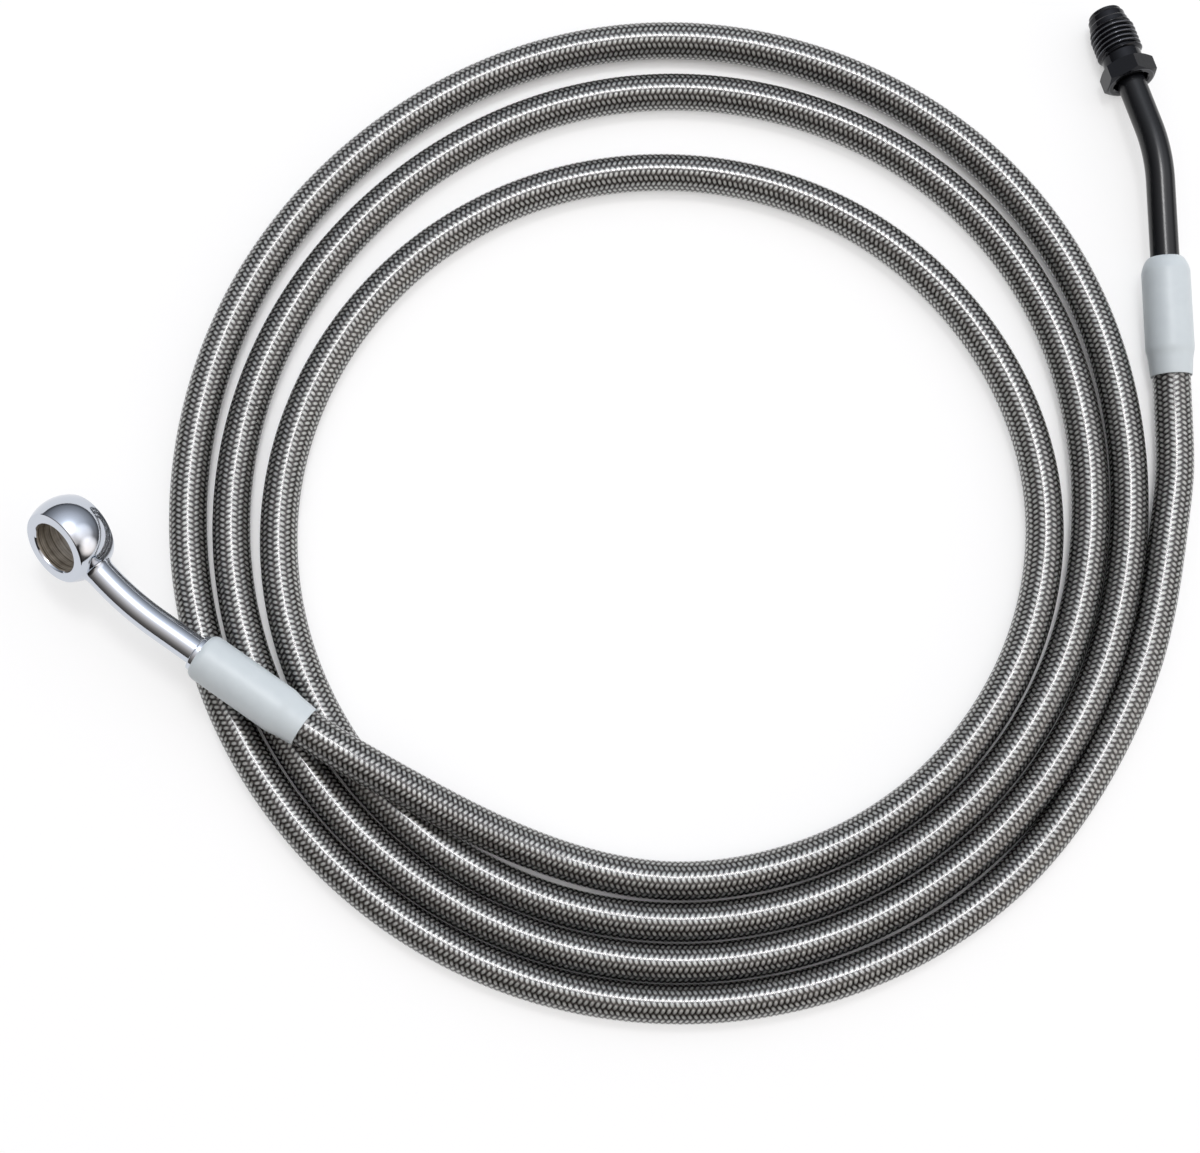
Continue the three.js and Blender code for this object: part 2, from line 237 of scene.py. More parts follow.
def settle(piece, slot, *nodes, body="hose"):
    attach(piece, body)
    if nodes:
        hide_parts(*nodes)
    return piece


# small tools for materials
def hexColour(code):
    parts = [int(code[i:i + 2], 16) / 255 for i in (0, 2, 4)]
    return [p / 12.92 if p <= 0.04045 else ((p + 0.055) / 1.055) ** 2.4 for p in parts] + [1.0]


def addNode(tree, kind, settings=None, links=None):
    # a setting that is not one of the node's own sets the input of that name or number,
    # and a link joins (node, output) to an input
    node = tree.nodes.new("ShaderNode" + kind)
    for key, value in (settings or {}).items():
        if isinstance(key, int) or not hasattr(node, key):
            node.inputs[key].default_value = value
        else:
            setattr(node, key, value)
    for key, (source, output) in (links or {}).items():
        tree.links.new(source.outputs[output], node.inputs[key])
    return node


def reckon(tree, operation, *values):
    # arithmetic on numbers and on (node, output) pairs
    numbers = {k: value for k, value in enumerate(values) if not isinstance(value, tuple)}
    links = {k: value for k, value in enumerate(values) if isinstance(value, tuple)}
    return addNode(tree, "Math", {"operation": operation, **numbers}, links)


def ramp(tree, value, start, end, low=0.0, high=1.0, smooth=False):
    # from low to high while the value goes from start to end
    return addNode(tree, "MapRange", {
        "interpolation_type": "SMOOTHSTEP" if smooth else "LINEAR", 1: start, 2: end, 3: low, 4: high,
    }, {0: value})


def mixColours(tree, share, first, second):
    return addNode(tree, "Mix", {
        "data_type": "RGBA", 6: hexColour(first), 7: hexColour(second),
    }, {"Factor": share})


def noise(tree, size, detail=2.0):
    # a cloudy pattern, this many mm in size
    place = addNode(tree, "TexCoord")
    return addNode(tree, "TexNoise", {"Scale": 1 / (size * mm), "Detail": detail},
                   {"Vector": (place, "Object")})


def uneven(tree, pattern, middle, spread):
    # a value that wavers about its middle with the pattern
    return ramp(tree, (pattern, 0), 0.0, 1.0, middle - spread, middle + spread)


def relief(tree, pattern, strength, height, over=None):
    # the pattern as bumps, this many mm high, on their own or over other ones
    links = {"Height": (pattern, 0)}
    if over:
        links["Normal"] = (over, "Normal")
    return addNode(tree, "Bump", {"Strength": strength, "Distance": height * mm}, links)


def newMaterial(name):
    material = bpy.data.materials.new(name)
    material.use_nodes = True
    tree = material.node_tree
    tree.nodes.clear()
    return material, tree


def finishMaterial(tree, settings, links):
    shader = addNode(tree, "BsdfPrincipled", settings, links)
    addNode(tree, "OutputMaterial", links={"Surface": (shader, "BSDF")})


# clear PVC, extruded over the braid: a glass-like skin that gives the thin white line along the hose
# and makes the wires under it look as wide as the hose
clearPvc = {
    "colour": "F4F6F8",
    "ior": 1.53,
    "roughness": 0.15,
    "ripple": 0.008,
    "rippleSize": 6.0,      # mm
    "rippleHeight": 0.2,    # mm
}


def clearPvcMaterial():
    material, tree = newMaterial("clear PVC, extruded")
    ripple = noise(tree, clearPvc["rippleSize"])
    bump = relief(tree, ripple, clearPvc["ripple"], clearPvc["rippleHeight"])
    finishMaterial(tree, {
        "Base Color": hexColour(clearPvc["colour"]), "IOR": clearPvc["ior"],
        "Roughness": clearPvc["roughness"], "Transmission Weight": 1.0,
    }, {"Normal": (bump, "Normal")})
    return material


# stainless steel wire, drawn and braided: each strand has a painted highlight, a bright dot, where it crosses
# over the others, and painted shade where it dips under them
braidWire = {
    "shine": [              # how near to a crest, and the colour there: painted shade to painted highlight
        (0.06, "2B2826"), (0.32, "7C7874"), (0.54, "C2BEBA"), (0.72, "FFFFFC"),
    ],
    "wiresPerStrand": 5,    # coarser than the real wires, so that they show
    "wireHeight": 0.05,     # mm
    "wireRelief": 0.6,
    "paintedSeamShade": (0.1, 0.6),     # height within a wire over which its painted seam shade lightens
    "crestPower": 1.9,      # how short the painted highlights on the crests are
    "seamShade": 0.72,      # brightness of the painted shade between two wires
    "roughness": 0.4,
}


def braidMaterial():
    material, tree = newMaterial("stainless steel wire, drawn and braided")
    spot = addNode(tree, "UVMap", {"uv_map": "strand"})
    split = addNode(tree, "SeparateXYZ", links={"Vector": (spot, "UV")})
    turns = reckon(tree, "MULTIPLY", (split, "X"), braidWire["wiresPerStrand"] * math.pi)
    wave = reckon(tree, "SINE", (turns, 0))
    wire = reckon(tree, "ABSOLUTE", (wave, 0))
    bump = relief(tree, wire, braidWire["wireRelief"], braidWire["wireHeight"])
    halfTurn = reckon(tree, "MULTIPLY", (split, "X"), math.pi)
    middle = reckon(tree, "SINE", (halfTurn, 0))
    phase = reckon(tree, "MULTIPLY", (split, "Y"), math.pi)
    rise = reckon(tree, "COSINE", (phase, 0))
    over = ramp(tree, (rise, 0), -1.0, 1.0)
    crest = reckon(tree, "POWER", (over, 0), braidWire["crestPower"])
    near = reckon(tree, "MULTIPLY", (middle, 0), (crest, 0))
    # painted light: the base colour runs from painted shade in the dips to a painted highlight on each crest
    paintedCrestLight = addNode(tree, "ValToRGB", links={0: (near, 0)})
    stops = paintedCrestLight.color_ramp.elements
    for k, (place, colour) in enumerate(braidWire["shine"]):
        stop = stops[k] if k < 2 else stops.new(place)
        stop.position = place
        stop.color = hexColour(colour)
    # painted shade in the seams, where neighbouring wires hide each other from the light
    paintedSeamShade = ramp(tree, (wire, 0), *braidWire["paintedSeamShade"], low=braidWire["seamShade"])
    tint = addNode(tree, "VectorMath", {"operation": "SCALE"},
                   {0: (paintedCrestLight, 0), "Scale": (paintedSeamShade, 0)})
    finishMaterial(tree, {"Metallic": 1.0, "Roughness": braidWire["roughness"]},
                   {"Base Color": (tint, 0), "Normal": (bump, "Normal")})
    return material


# PTFE, extruded: the inner tube that shows between the strands, its dark colour painted shade for the gaps there
liner = {"colour": "2C2B2C", "roughness": 0.5, "unevenness": 0.05, "grainSize": 1.25}   # size in mm


def linerMaterial():
    material, tree = newMaterial("PTFE, extruded, dark as painted shade")
    rough = uneven(tree, noise(tree, liner["grainSize"]), liner["roughness"], liner["unevenness"])
    finishMaterial(tree, {"Base Color": hexColour(liner["colour"])}, {"Roughness": (rough, 0)})
    return material


clearPvcSkin = clearPvcMaterial()
braidMetal = braidMaterial()
linerPtfe = linerMaterial()
print("hose materials made")

# the hose: clear cover, braid of crossing strands, inner liner
hose = {
    "coverEnd": 18.6,       # mm from a sleeve's mouth to where the cover ends inside it
    "innerEnd": 3.9,        # mm from a sleeve's mouth to where braid and liner end
    "coverSides": 40,
    "linerRadius": 2.35,
    "linerBore": 1.6,
    "linerSides": 16,
}
braid = {
    "radius": 2.98,         # mm, the middle of the weave
    "lift": 0.14,           # mm that a strand rises and dips
    "lead": 8.94,           # mm along the hose for one turn of a strand
    "strandsEachWay": 8,
    "strandWidth": 0.92,
    "crown": 0.17,          # mm that a strand's edges lie below its middle
    "stepsPerCrossing": 2,
    "lengths": 4,           # the braid is drawn as this many lengths, end to end
}

coverLine = smoothLine(hoseStations(hose["coverEnd"]), route["step"])
innerLine = smoothLine(hoseStations(hose["innerEnd"]), route["step"])


def sweptSkin(name, line, radius, sides, material, bore=0.0):
    # a tube along a line, with flat closed ends or a bore right through
    along, side, other = steadyFrames(line)
    spokes = ringSpokes(side, other, sides)
    rings = line[:, None] + radius * spokes
    if bore:
        inner = (line[:, None] + bore * spokes)[::-1]
        rings = np.concatenate([rings, inner])
        faces = ringFaces(len(rings), sides, closed=True)
    else:
        faces = ringFaces(len(rings), sides, closed=False).tolist()
        faces.append(list(range(sides - 1, -1, -1)))
        faces.append([(len(rings) - 1) * sides + k for k in range(sides)])
    return newObject(name, rings.reshape(-1, 3) * mm, faces, material)


def strand(line, frames, startAngle, way):
    # one flat strand of the braid as three rows of points, edge, crown and edge, and the crossings it has
    # passed; strands that wind one way are over at even crossings, and the others at odd ones
    along, side, other = frames
    travelled = np.arange(len(line)) * (lineLength(line) / (len(line) - 1))
    turn = way * 2 * math.pi / braid["lead"]
    crossings = travelled / (braid["lead"] / (2 * braid["strandsEachWay"])) + (way < 0)
    height = braid["radius"] + braid["lift"] * np.cos(math.pi * crossings)
    angle = startAngle + turn * travelled
    slope = math.atan(abs(turn) * braid["radius"])
    rows = []
    for offset, drop in ((-0.5, braid["crown"]), (0, 0), (0.5, braid["crown"])):
        shift = offset * braid["strandWidth"]
        place = travelled + shift * math.sin(slope) * -way
        around = angle + shift * math.cos(slope) / braid["radius"]
        centre = np.stack([np.interp(place, travelled, line[:, k]) for k in range(3)], axis=1)
        spoke = np.cos(around)[:, None] * side + np.sin(around)[:, None] * other
        rows.append(centre + (height - drop)[:, None] * spoke)
    return np.stack(rows, axis=1).reshape(-1, 3), crossings


def braidLength(line, start):
    # both ways of strands over one length of the hose
    frames = steadyFrames(line, start)
    vertices, faces, uv = [], [], []
    each = braid["strandsEachWay"]
    for way in (1, -1):
        for k in range(each):
            first = len(vertices) * len(line) * 3
            quad = first + np.arange(len(line) - 1)[:, None] * 3 + np.arange(2)[None, :]
            faces.append(np.stack([quad, quad + 1, quad + 4, quad + 3], axis=-1).reshape(-1, 4))
            points, crossings = strand(line, frames, 2 * math.pi * k / each, way)
            vertices.append(points)
            uv.append(np.stack([np.tile([0, 0.5, 1], len(line)), np.repeat(crossings, 3)], axis=1))
    return np.concatenate(vertices), np.concatenate(faces), np.concatenate(uv), frames


def makeBraid():
    crossing = braid["lead"] / (2 * braid["strandsEachWay"])
    fine = smoothLine(hoseStations(hose["innerEnd"]), crossing / braid["stepsPerCrossing"])
    perTurn = braid["stepsPerCrossing"] * 2 * braid["strandsEachWay"]
    total = len(fine) - 1
    cuts = [round(total * k / braid["lengths"] / perTurn) * perTurn for k in range(braid["lengths"])]
    cuts.append(total)
    start = (0, 0, -1)
    pieces = []
    for k in range(braid["lengths"]):
        vertices, faces, uv, frames = braidLength(fine[cuts[k]:cuts[k + 1] + 1], start)
        piece = newObject(f"braidLength{k + 1}", vertices * mm, faces, braidMetal)
        loops = np.zeros(len(piece.data.loops), np.int32)
        piece.data.loops.foreach_get("vertex_index", loops)
        piece.data.uv_layers.new(name="strand").data.foreach_set("uv", uv[loops].ravel())
        start = frames[1][-1]
        pieces.append(settle(piece, "braid_wire", "hose_braid"))
    return pieces


hoseCover = sweptSkin("hoseCoverClear", coverLine, route["hoseRadius"], hose["coverSides"], clearPvcSkin)
settle(hoseCover, "clear_cover", "hose_cover")
hoseLiner = sweptSkin("hoseLinerTube", innerLine, hose["linerRadius"], hose["linerSides"], linerPtfe,
                      hose["linerBore"])
settle(hoseLiner, "liner_plastic", "hose_liner")
braidPieces = makeBraid()
print("hose drawn,", round(lineLength(coverLine)), "mm of cover")


# how finely the fittings' round shapes are divided
fineness = {
    "turned": 72,           # sides of a turned piece
    "widest": 96,           # sides of the eye and the nut
    "passage": 32,
    "ball": 25,             # points from one flat face of the eye to the other
    "quarter": 13,          # points of a quarter round
    "bend": 40,
    "tubeSides": 56,
    "tubeStep": 0.8,        # mm between a tube's rings
}


def frameAt(origin, alongZ, nearX=(0, 0, 1)):
    z = unit(alongZ)
    y = unit(np.cross(z, nearX))
    return np.asarray(origin, float), np.cross(y, z), y, z


def soften(corners, steps=4, most=0.48):
    # an outline of (radius, depth, rounding) corners with each corner rounded off, over at most this share
    # of the side next to it
    outline = []
    count = len(corners)
    for k, (radius, depth, rounding) in enumerate(corners):
        here = np.array([radius, depth])
        if not rounding:
            outline.append(here)
            continue
        ends = []
        for other in (corners[k - 1], corners[(k + 1) % count]):
            way = np.array(other[:2]) - here
            reach = np.linalg.norm(way)
            ends.append(here + way / reach * min(rounding, most * reach))
        for t in np.linspace(0, 1, steps + 1):
            outline.append((1 - t) ** 2 * ends[0] + 2 * t * (1 - t) * here + t ** 2 * ends[1])
    return np.array(outline)


def turnedPiece(name, corners, place, material, sides=fineness["turned"], crease=35):
    # a ring turned about the place's z, from a closed outline
    outline = soften(corners)
    origin, x, y, z = place
    radius, depth = (outline[:, k, None, None] for k in (0, 1))
    rings = origin + depth * z + radius * ringSpokes(x, y, sides)
    faces = ringFaces(len(outline), sides, closed=True)
    return sharpen(newObject(name, rings.reshape(-1, 3) * mm, faces, material), crease)


def solidBar(name, radius, start, end, sides, turn=0.0):
    # a closed bar between two points, to cut with
    origin, x, y, z = frameAt(start, np.subtract(end, start))
    rim = radius * ringSpokes(x, y, sides, turn)
    corners = np.concatenate([start + rim, end + rim]) * mm
    faces = [[k, (k + 1) % sides, (k + 1) % sides + sides, k + sides] for k in range(sides)]
    faces += [list(range(sides)), list(range(2 * sides - 1, sides - 1, -1))]
    return sharpen(newObject(name, corners, faces, chromePlate), 30)


def carve(piece, cutter, operation, crease=30):
    change = piece.modifiers.new("carve", "BOOLEAN")
    change.operation = operation
    change.object = cutter
    shaped = bpy.data.meshes.new_from_object(piece.evaluated_get(bpy.context.evaluated_depsgraph_get()))
    piece.modifiers.clear()
    piece.data = shaped
    shaped.shade_smooth()
    bpy.data.objects.remove(cutter)
    return sharpen(piece, crease)


def bentLine(start, corner, end, bendRadius):
    # two straights that meet in one round bend
    start, corner, end = (np.asarray(p, float) for p in (start, corner, end))
    incoming, outgoing = unit(corner - start), unit(end - corner)
    bend = math.acos(float(np.dot(incoming, outgoing)))
    inward = unit(outgoing - incoming * math.cos(bend))
    bendStart = corner - incoming * bendRadius * math.tan(bend / 2)
    arc = [bendStart + incoming * bendRadius * math.sin(a) + inward * bendRadius * (1 - math.cos(a))
           for a in np.linspace(0, bend, fineness["bend"])]
    return evenSteps(np.array([start] + arc + [end]), fineness["tubeStep"])


def sweptShell(name, line, outer, bore, material, crease=35):
    # a pipe along a line, with an outer and a bore radius for each of its points
    along, side, other = steadyFrames(line)
    sides = fineness["tubeSides"]
    spokes = ringSpokes(side, other, sides)
    outer, bore = (np.broadcast_to(radii, len(line))[:, None, None] for radii in (outer, bore))
    rings = np.concatenate([line[:, None] + outer * spokes, (line[:, None] + bore * spokes)[::-1]])
    faces = ringFaces(len(rings), sides, closed=True)
    return sharpen(newObject(name, rings.reshape(-1, 3) * mm, faces, material), crease)


# polished chrome plate: a mirror for the softbox above and the dark room beside it
chrome = {
    "colour": "C8CDD6",
    "roughness": 0.07,
    "wave": 0.03,
    "waveSize": 4.0,        # mm
    "waveHeight": 0.2,      # mm
}


def chromeMaterial():
    material, tree = newMaterial("chrome plate, polished")
    wave = noise(tree, chrome["waveSize"], detail=1.0)
    bump = relief(tree, wave, chrome["wave"], chrome["waveHeight"])
    finishMaterial(tree, {
        "Base Color": hexColour(chrome["colour"]), "Metallic": 1.0, "Roughness": chrome["roughness"],
    }, {"Normal": (bump, "Normal")})
    return material


# turned steel, left bare: duller and browner than the plate, mottled, with fine tool lines round the bore
bareSteel = {
    "metallic": 0.7,
    "roughness": 0.38,
    "lineSize": 0.35,       # mm, coarser than the real tool lines, so that they show
    "patchSize": 4.5,       # mm
    "patches": (0.75, 1.25),    # sum of both patterns over which dark turns to light
    "bored": {"light": "CCC3B6", "dark": "625A50", "lineHeight": 0.02},     # mm
    "turned": {"light": "B9BABC", "dark": "A2A3A6", "lineHeight": 0.01},
}


def bareSteelMaterial(name, place, kind):
    # tool lines run round the axis of the place
    material, tree = newMaterial(name)
    look = bareSteel[kind]
    origin, x, y, z = place
    spot = addNode(tree, "TexCoord")
    depth = addNode(tree, "VectorMath", {"operation": "DOT_PRODUCT", 1: tuple(z)},
                    {0: (spot, "Object")})
    lines = addNode(tree, "TexNoise", {
        "noise_dimensions": "1D", "Scale": 1 / (bareSteel["lineSize"] * mm), "Detail": 3.0,
    }, {"W": (depth, "Value")})
    bump = relief(tree, lines, 1.0, look["lineHeight"])
    cloud = noise(tree, bareSteel["patchSize"], detail=4.0)
    both = reckon(tree, "ADD", (cloud, 0), (lines, 0))
    patches = ramp(tree, (both, 0), *bareSteel["patches"])
    tint = mixColours(tree, (patches, 0), look["dark"], look["light"])
    finishMaterial(tree, {"Metallic": bareSteel["metallic"], "Roughness": bareSteel["roughness"]},
                   {"Base Color": (tint, 2), "Normal": (bump, "Normal")})
    return material


# pale polyolefin heat-shrink, semi-matt: a soft broad sheen along its top
shrink = {
    "light": "CFD7DA",
    "dark": "C4CCD0",
    "ior": 1.5,
    "roughness": 0.42,
    "ripple": 0.06,
    "rippleSize": 3.0,      # mm
    "rippleHeight": 0.4,    # mm
    "grain": 0.15,
    "grainSize": 0.11,      # mm, coarser than the real grain, so that it shows
    "grainHeight": 0.01,    # mm
}


def shrinkMaterial():
    material, tree = newMaterial("polyolefin heat-shrink, semi-matt")
    cloud = noise(tree, shrink["rippleSize"], detail=3.0)
    grain = noise(tree, shrink["grainSize"])
    tint = mixColours(tree, (cloud, 0), shrink["dark"], shrink["light"])
    soft = relief(tree, cloud, shrink["ripple"], shrink["rippleHeight"])
    fine = relief(tree, grain, shrink["grain"], shrink["grainHeight"], over=soft)
    finishMaterial(tree, {"Roughness": shrink["roughness"], "IOR": shrink["ior"]},
                   {"Base Color": (tint, 2), "Normal": (fine, "Normal")})
    return material


# black-coated steel: near black with a cool satin sheen
blackSteel = {
    "ior": 1.5,
    "unevenness": 0.05,     # of the roughness
    "grain": 0.12,
    "grainSize": 0.8,       # mm
    "grainHeight": 0.03,    # mm
    "tube": {"colour": "101114", "roughness": 0.23, "metallic": 0.0, "shine": 0.4},
    "nut": {"colour": "1E1F23", "roughness": 0.13, "metallic": 0.6, "shine": 0.5},
    # the crests' lighter colour is partly wear and partly a painted highlight
    "wearAndHighlight": {"colour": "5E6066", "depth": 0.12, "margin": 0.05},    # mm below the crests and above
}


def blackMaterial(name, kind, thread=None):
    # thread is the place of one and the radius of its crests, which are lighter: partly wear, partly a painted
    # highlight
    material, tree = newMaterial(name)
    look = blackSteel[kind]
    cloud = noise(tree, blackSteel["grainSize"], detail=4.0)
    rough = uneven(tree, cloud, look["roughness"], blackSteel["unevenness"])
    bump = relief(tree, cloud, blackSteel["grain"], blackSteel["grainHeight"])
    links = {"Roughness": (rough, 0), "Normal": (bump, "Normal")}
    if thread:
        (origin, x, y, z), radius = thread
        wearAndHighlight = blackSteel["wearAndHighlight"]
        place = addNode(tree, "TexCoord")
        arm = addNode(tree, "VectorMath", {"operation": "SUBTRACT", 1: tuple(origin * mm)},
                      {0: (place, "Object")})
        across = addNode(tree, "VectorMath", {"operation": "CROSS_PRODUCT", 1: tuple(z)},
                         {0: (arm, 0)})
        reach = addNode(tree, "VectorMath", {"operation": "LENGTH"}, {0: (across, 0)})
        # lighter crests: partly wear, partly a painted highlight
        crestWearAndHighlight = ramp(tree, (reach, "Value"), (radius - wearAndHighlight["depth"]) * mm, radius * mm)
        inThread = reckon(tree, "LESS_THAN", (reach, "Value"), (radius + wearAndHighlight["margin"]) * mm)
        share = reckon(tree, "MULTIPLY", (crestWearAndHighlight, 0), (inThread, 0))
        tint = mixColours(tree, (share, 0), look["colour"], wearAndHighlight["colour"])
        links["Base Color"] = (tint, 2)
    finishMaterial(tree, {
        "Base Color": hexColour(look["colour"]), "Metallic": look["metallic"], "IOR": blackSteel["ior"],
        "Specular IOR Level": look["shine"],
    }, links)
    return material


chromePlate = chromeMaterial()
sleevePolyolefin = shrinkMaterial()
tubeBlack = blackMaterial("black coated steel, satin", "tube")

# the banjo end: an eye for the bolt, and the plated tube brazed into it
banjo = {
    "ballRadius": 8.53,
    "eyeWidth": 8.6,
    "boreRadius": 5.2,
    "mouthRadius": 5.41,
    "mouthDepth": 0.4,      # mm that the bore's mouth is bevelled
    "mouthRounding": (0.06, 0.04),
    "faceRounding": 0.2,    # mm, where the ball meets its flat faces
    "socketReach": 6.4,     # mm from the bore's axis to where the tube starts
    "bareMargins": (0.02, 0.6, 0.1),    # mm past the bore, and along and beside the passage
    "brazeReach": 9.0,      # mm from the bore's axis to where the braze ends
    "brazeFoot": 4.2,       # mm, its radius at the eye
    "brazeFillet": 1.7,
    "brazeMargins": (0.05, 0.02),   # mm that its inside is wider than the tube's bore, and its rim than the tube
    "tubeRadius": 2.9,
    "tubeBore": 1.95,
    "bendRadius": 68.0,
    "tubeDepth": 2.0,       # mm that the tube reaches behind the sleeve's mouth
}
eyeCentre = rowPoint(route["banjoEye"])
eyeToTube = unit(np.subtract(route["banjoCorner"], route["banjoEye"]))
boreAxis = unit(np.asarray(route["banjoBore"]) - eyeToTube * np.dot(route["banjoBore"], eyeToTube))
eyePlace = frameAt(eyeCentre, boreAxis, eyeToTube)
tubePlace = frameAt(eyeCentre, eyeToTube)
boreSteel = bareSteelMaterial("bored steel, bare", eyePlace, "bored")


def makeEye():
    half = banjo["eyeWidth"] / 2
    faceAngle = math.asin(half / banjo["ballRadius"])
    ball = [(banjo["ballRadius"] * math.cos(a), banjo["ballRadius"] * math.sin(a), 0)
            for a in np.linspace(-faceAngle, faceAngle, fineness["ball"])]
    ball[0] = (*ball[0][:2], banjo["faceRounding"])
    ball[-1] = (*ball[-1][:2], banjo["faceRounding"])
    bevelled = half - banjo["mouthDepth"]
    outerEdge, innerEdge = banjo["mouthRounding"]
    corners = [
        (banjo["mouthRadius"], half, outerEdge), (banjo["boreRadius"], bevelled, innerEdge),
        (banjo["boreRadius"], -bevelled, innerEdge), (banjo["mouthRadius"], -half, outerEdge), *ball,
    ]
    eye = turnedPiece("banjoEye", corners, eyePlace, chromePlate, fineness["widest"])
    passageEnd = eyeCentre + eyeToTube * banjo["socketReach"]
    passage = solidBar("passage", banjo["tubeBore"], eyeCentre, passageEnd, fineness["passage"])
    carve(eye, passage, "DIFFERENCE")
    eye.data.materials.append(boreSteel)
    past, along, beside = banjo["bareMargins"]
    for face in eye.data.polygons:
        out = np.asarray(face.center) / mm - eyeCentre
        depth = np.dot(out, boreAxis)
        inBore = np.linalg.norm(out - boreAxis * depth) < banjo["boreRadius"] + past
        inPassage = np.linalg.norm(out) < banjo["socketReach"] + along
        face.material_index = int(inBore or inPassage and abs(depth) < banjo["tubeBore"] + beside)
    return settle(eye, "chrome_plate", "banjo_eye")


def makeBraze():
    # the collar of braze where the tube enters the eye
    reach, foot, start = banjo["brazeReach"], banjo["brazeFoot"], banjo["socketReach"]
    inside = banjo["tubeBore"] + banjo["brazeMargins"][0]
    drop = foot - banjo["tubeRadius"] - banjo["brazeMargins"][1]
    hollow = [(foot - drop * math.sin(a), reach - banjo["brazeFillet"] * math.cos(a), 0)
              for a in np.linspace(0, math.pi / 2, fineness["quarter"])]
    corners = [(inside, start, 0), (foot, start, 0), *hollow, (inside, reach, 0)]
    return settle(turnedPiece("banjoBraze", corners, tubePlace, chromePlate), "chrome_plate", "banjo_eye")


def makeBanjoTube():
    start = eyeCentre + eyeToTube * banjo["socketReach"]
    end = rowPoint(banjoMouth + banjoIntoHose * banjo["tubeDepth"])
    line = bentLine(start, rowPoint(route["banjoCorner"]), end, banjo["bendRadius"])
    tube = sweptShell("banjoTube", line, banjo["tubeRadius"], banjo["tubeBore"], chromePlate)
    return settle(tube, "chrome_plate", "banjo_tube")


makeEye()
makeBraze()
makeBanjoTube()
print("banjo end made")

# crimped joints and their shrunk sleeves, from the sleeve's mouth towards the hose
crimp = {
    "ferruleRadius": 4.3,
    "ferruleBore": 3.35,
    "ferruleLength": 18.3,
    "lip": 1.0,
    "lipRadius": 3.85,
    "lipBore": 3.2,
    "flange": 2.0,
    "chamberRadius": 3.8,
    "chamberEnd": 3.9,
    "sleeveRadius": 4.85,
    "sleeveBore": 4.45,
    "sleeveGap": 0.15,
    "mouthChamfer": 0.4,    # mm, on the banjo end's ferrule and sleeve
    "mouthSlope": (0.6, 0.88),  # mm in and back, on the outside of that sleeve
    "stepDepth": 19.3,
    "stepSlope": (-0.3, 1.1),   # mm about the step, from where to where the outside slopes
    "neckRadius": 4.5,
    "tailRadius": 4.15,
    "neckBore": 3.9,
    "lipRoundings": (0.35, 0.15),   # mm, outside and inside
    "ferruleRoundings": (0.1, 0.2), # mm, at its mouth and along its edges
    "mouthRoundings": (0.1, 0.7),   # mm, of the banjo end's sleeve, at its mouth and behind it
    "stepRoundings": (0.7, 0.9),    # mm, before the step and behind it
    "tailRounding": 0.12,
    "shoulder": 3.0,        # mm over which the flare end's sleeve rounds in to the tube
    "shoulderPower": 1.45,  # 1 is a quarter of an ellipse, and more is flatter
    "mouthRadius": 3.45,
    "mouthBore": 3.05,
}
banjoPlace = frameAt(rowPoint(banjoMouth), banjoIntoHose)
flarePlace = frameAt(rowPoint(flareMouth), flareIntoHose)


def sleeveTail():
    # the sleeve behind the ferrule, where it steps down onto the hose
    before, behind = crimp["stepRoundings"]
    return [
        (crimp["sleeveRadius"], crimp["stepDepth"] + crimp["stepSlope"][0], before),
        (crimp["neckRadius"], crimp["stepDepth"] + crimp["stepSlope"][1], behind),
        (crimp["tailRadius"], route["sleeveLength"], crimp["tailRounding"]),
        (crimp["neckBore"], route["sleeveLength"], 0),
        (crimp["neckBore"], crimp["stepDepth"], 0),
        (crimp["sleeveBore"], crimp["ferruleLength"] + crimp["sleeveGap"], 0),
    ]


def makeFerrule():
    lipOutside, lipInside = crimp["lipRoundings"]
    mouth, edges = crimp["ferruleRoundings"]
    corners = [
        (crimp["lipRadius"], -crimp["lip"], lipOutside), (crimp["lipRadius"], 0.0, 0),
        (crimp["ferruleRadius"] - crimp["mouthChamfer"], 0.0, mouth),
        (crimp["ferruleRadius"], crimp["mouthChamfer"], edges),
        (crimp["ferruleRadius"], crimp["ferruleLength"], edges),
        (crimp["ferruleBore"], crimp["ferruleLength"], 0), (crimp["ferruleBore"], crimp["chamberEnd"], 0),
        (crimp["chamberRadius"], crimp["chamberEnd"], 0), (crimp["chamberRadius"], crimp["flange"], 0),
        (crimp["lipBore"], crimp["flange"], 0), (crimp["lipBore"], -crimp["lip"], lipInside),
    ]
    ferrule = turnedPiece("banjoFerrule", corners, banjoPlace, chromePlate)
    return settle(ferrule, "plain_steel", "banjo_ferrule")


def quarterRound(mouthRadius, radius, reach):
    # from the mouth's radius out to the sleeve's, over the last stretch up to the shoulder's depth
    power = crimp["shoulderPower"]
    return [(mouthRadius + (radius - mouthRadius) * math.sin(a) ** power,
             crimp["shoulder"] - reach * abs(math.cos(a)) ** power, 0)
            for a in np.linspace(0, math.pi / 2, fineness["quarter"])]


def makeBanjoSleeve():
    # open at its mouth, where the ferrule's lip stands out
    outer, bore, chamfer = crimp["sleeveRadius"], crimp["sleeveBore"], crimp["mouthChamfer"]
    slopeIn, slopeBack = crimp["mouthSlope"]
    mouth, behind = crimp["mouthRoundings"]
    corners = [(outer - slopeIn, 0, mouth), (outer, slopeBack, behind), *sleeveTail()]
    corners += [(bore, chamfer, 0), (bore - chamfer, 0, 0)]
    return settle(turnedPiece("banjoSleeve", corners, banjoPlace, sleevePolyolefin), "sleeve_plastic",
                  "banjo_sleeve")


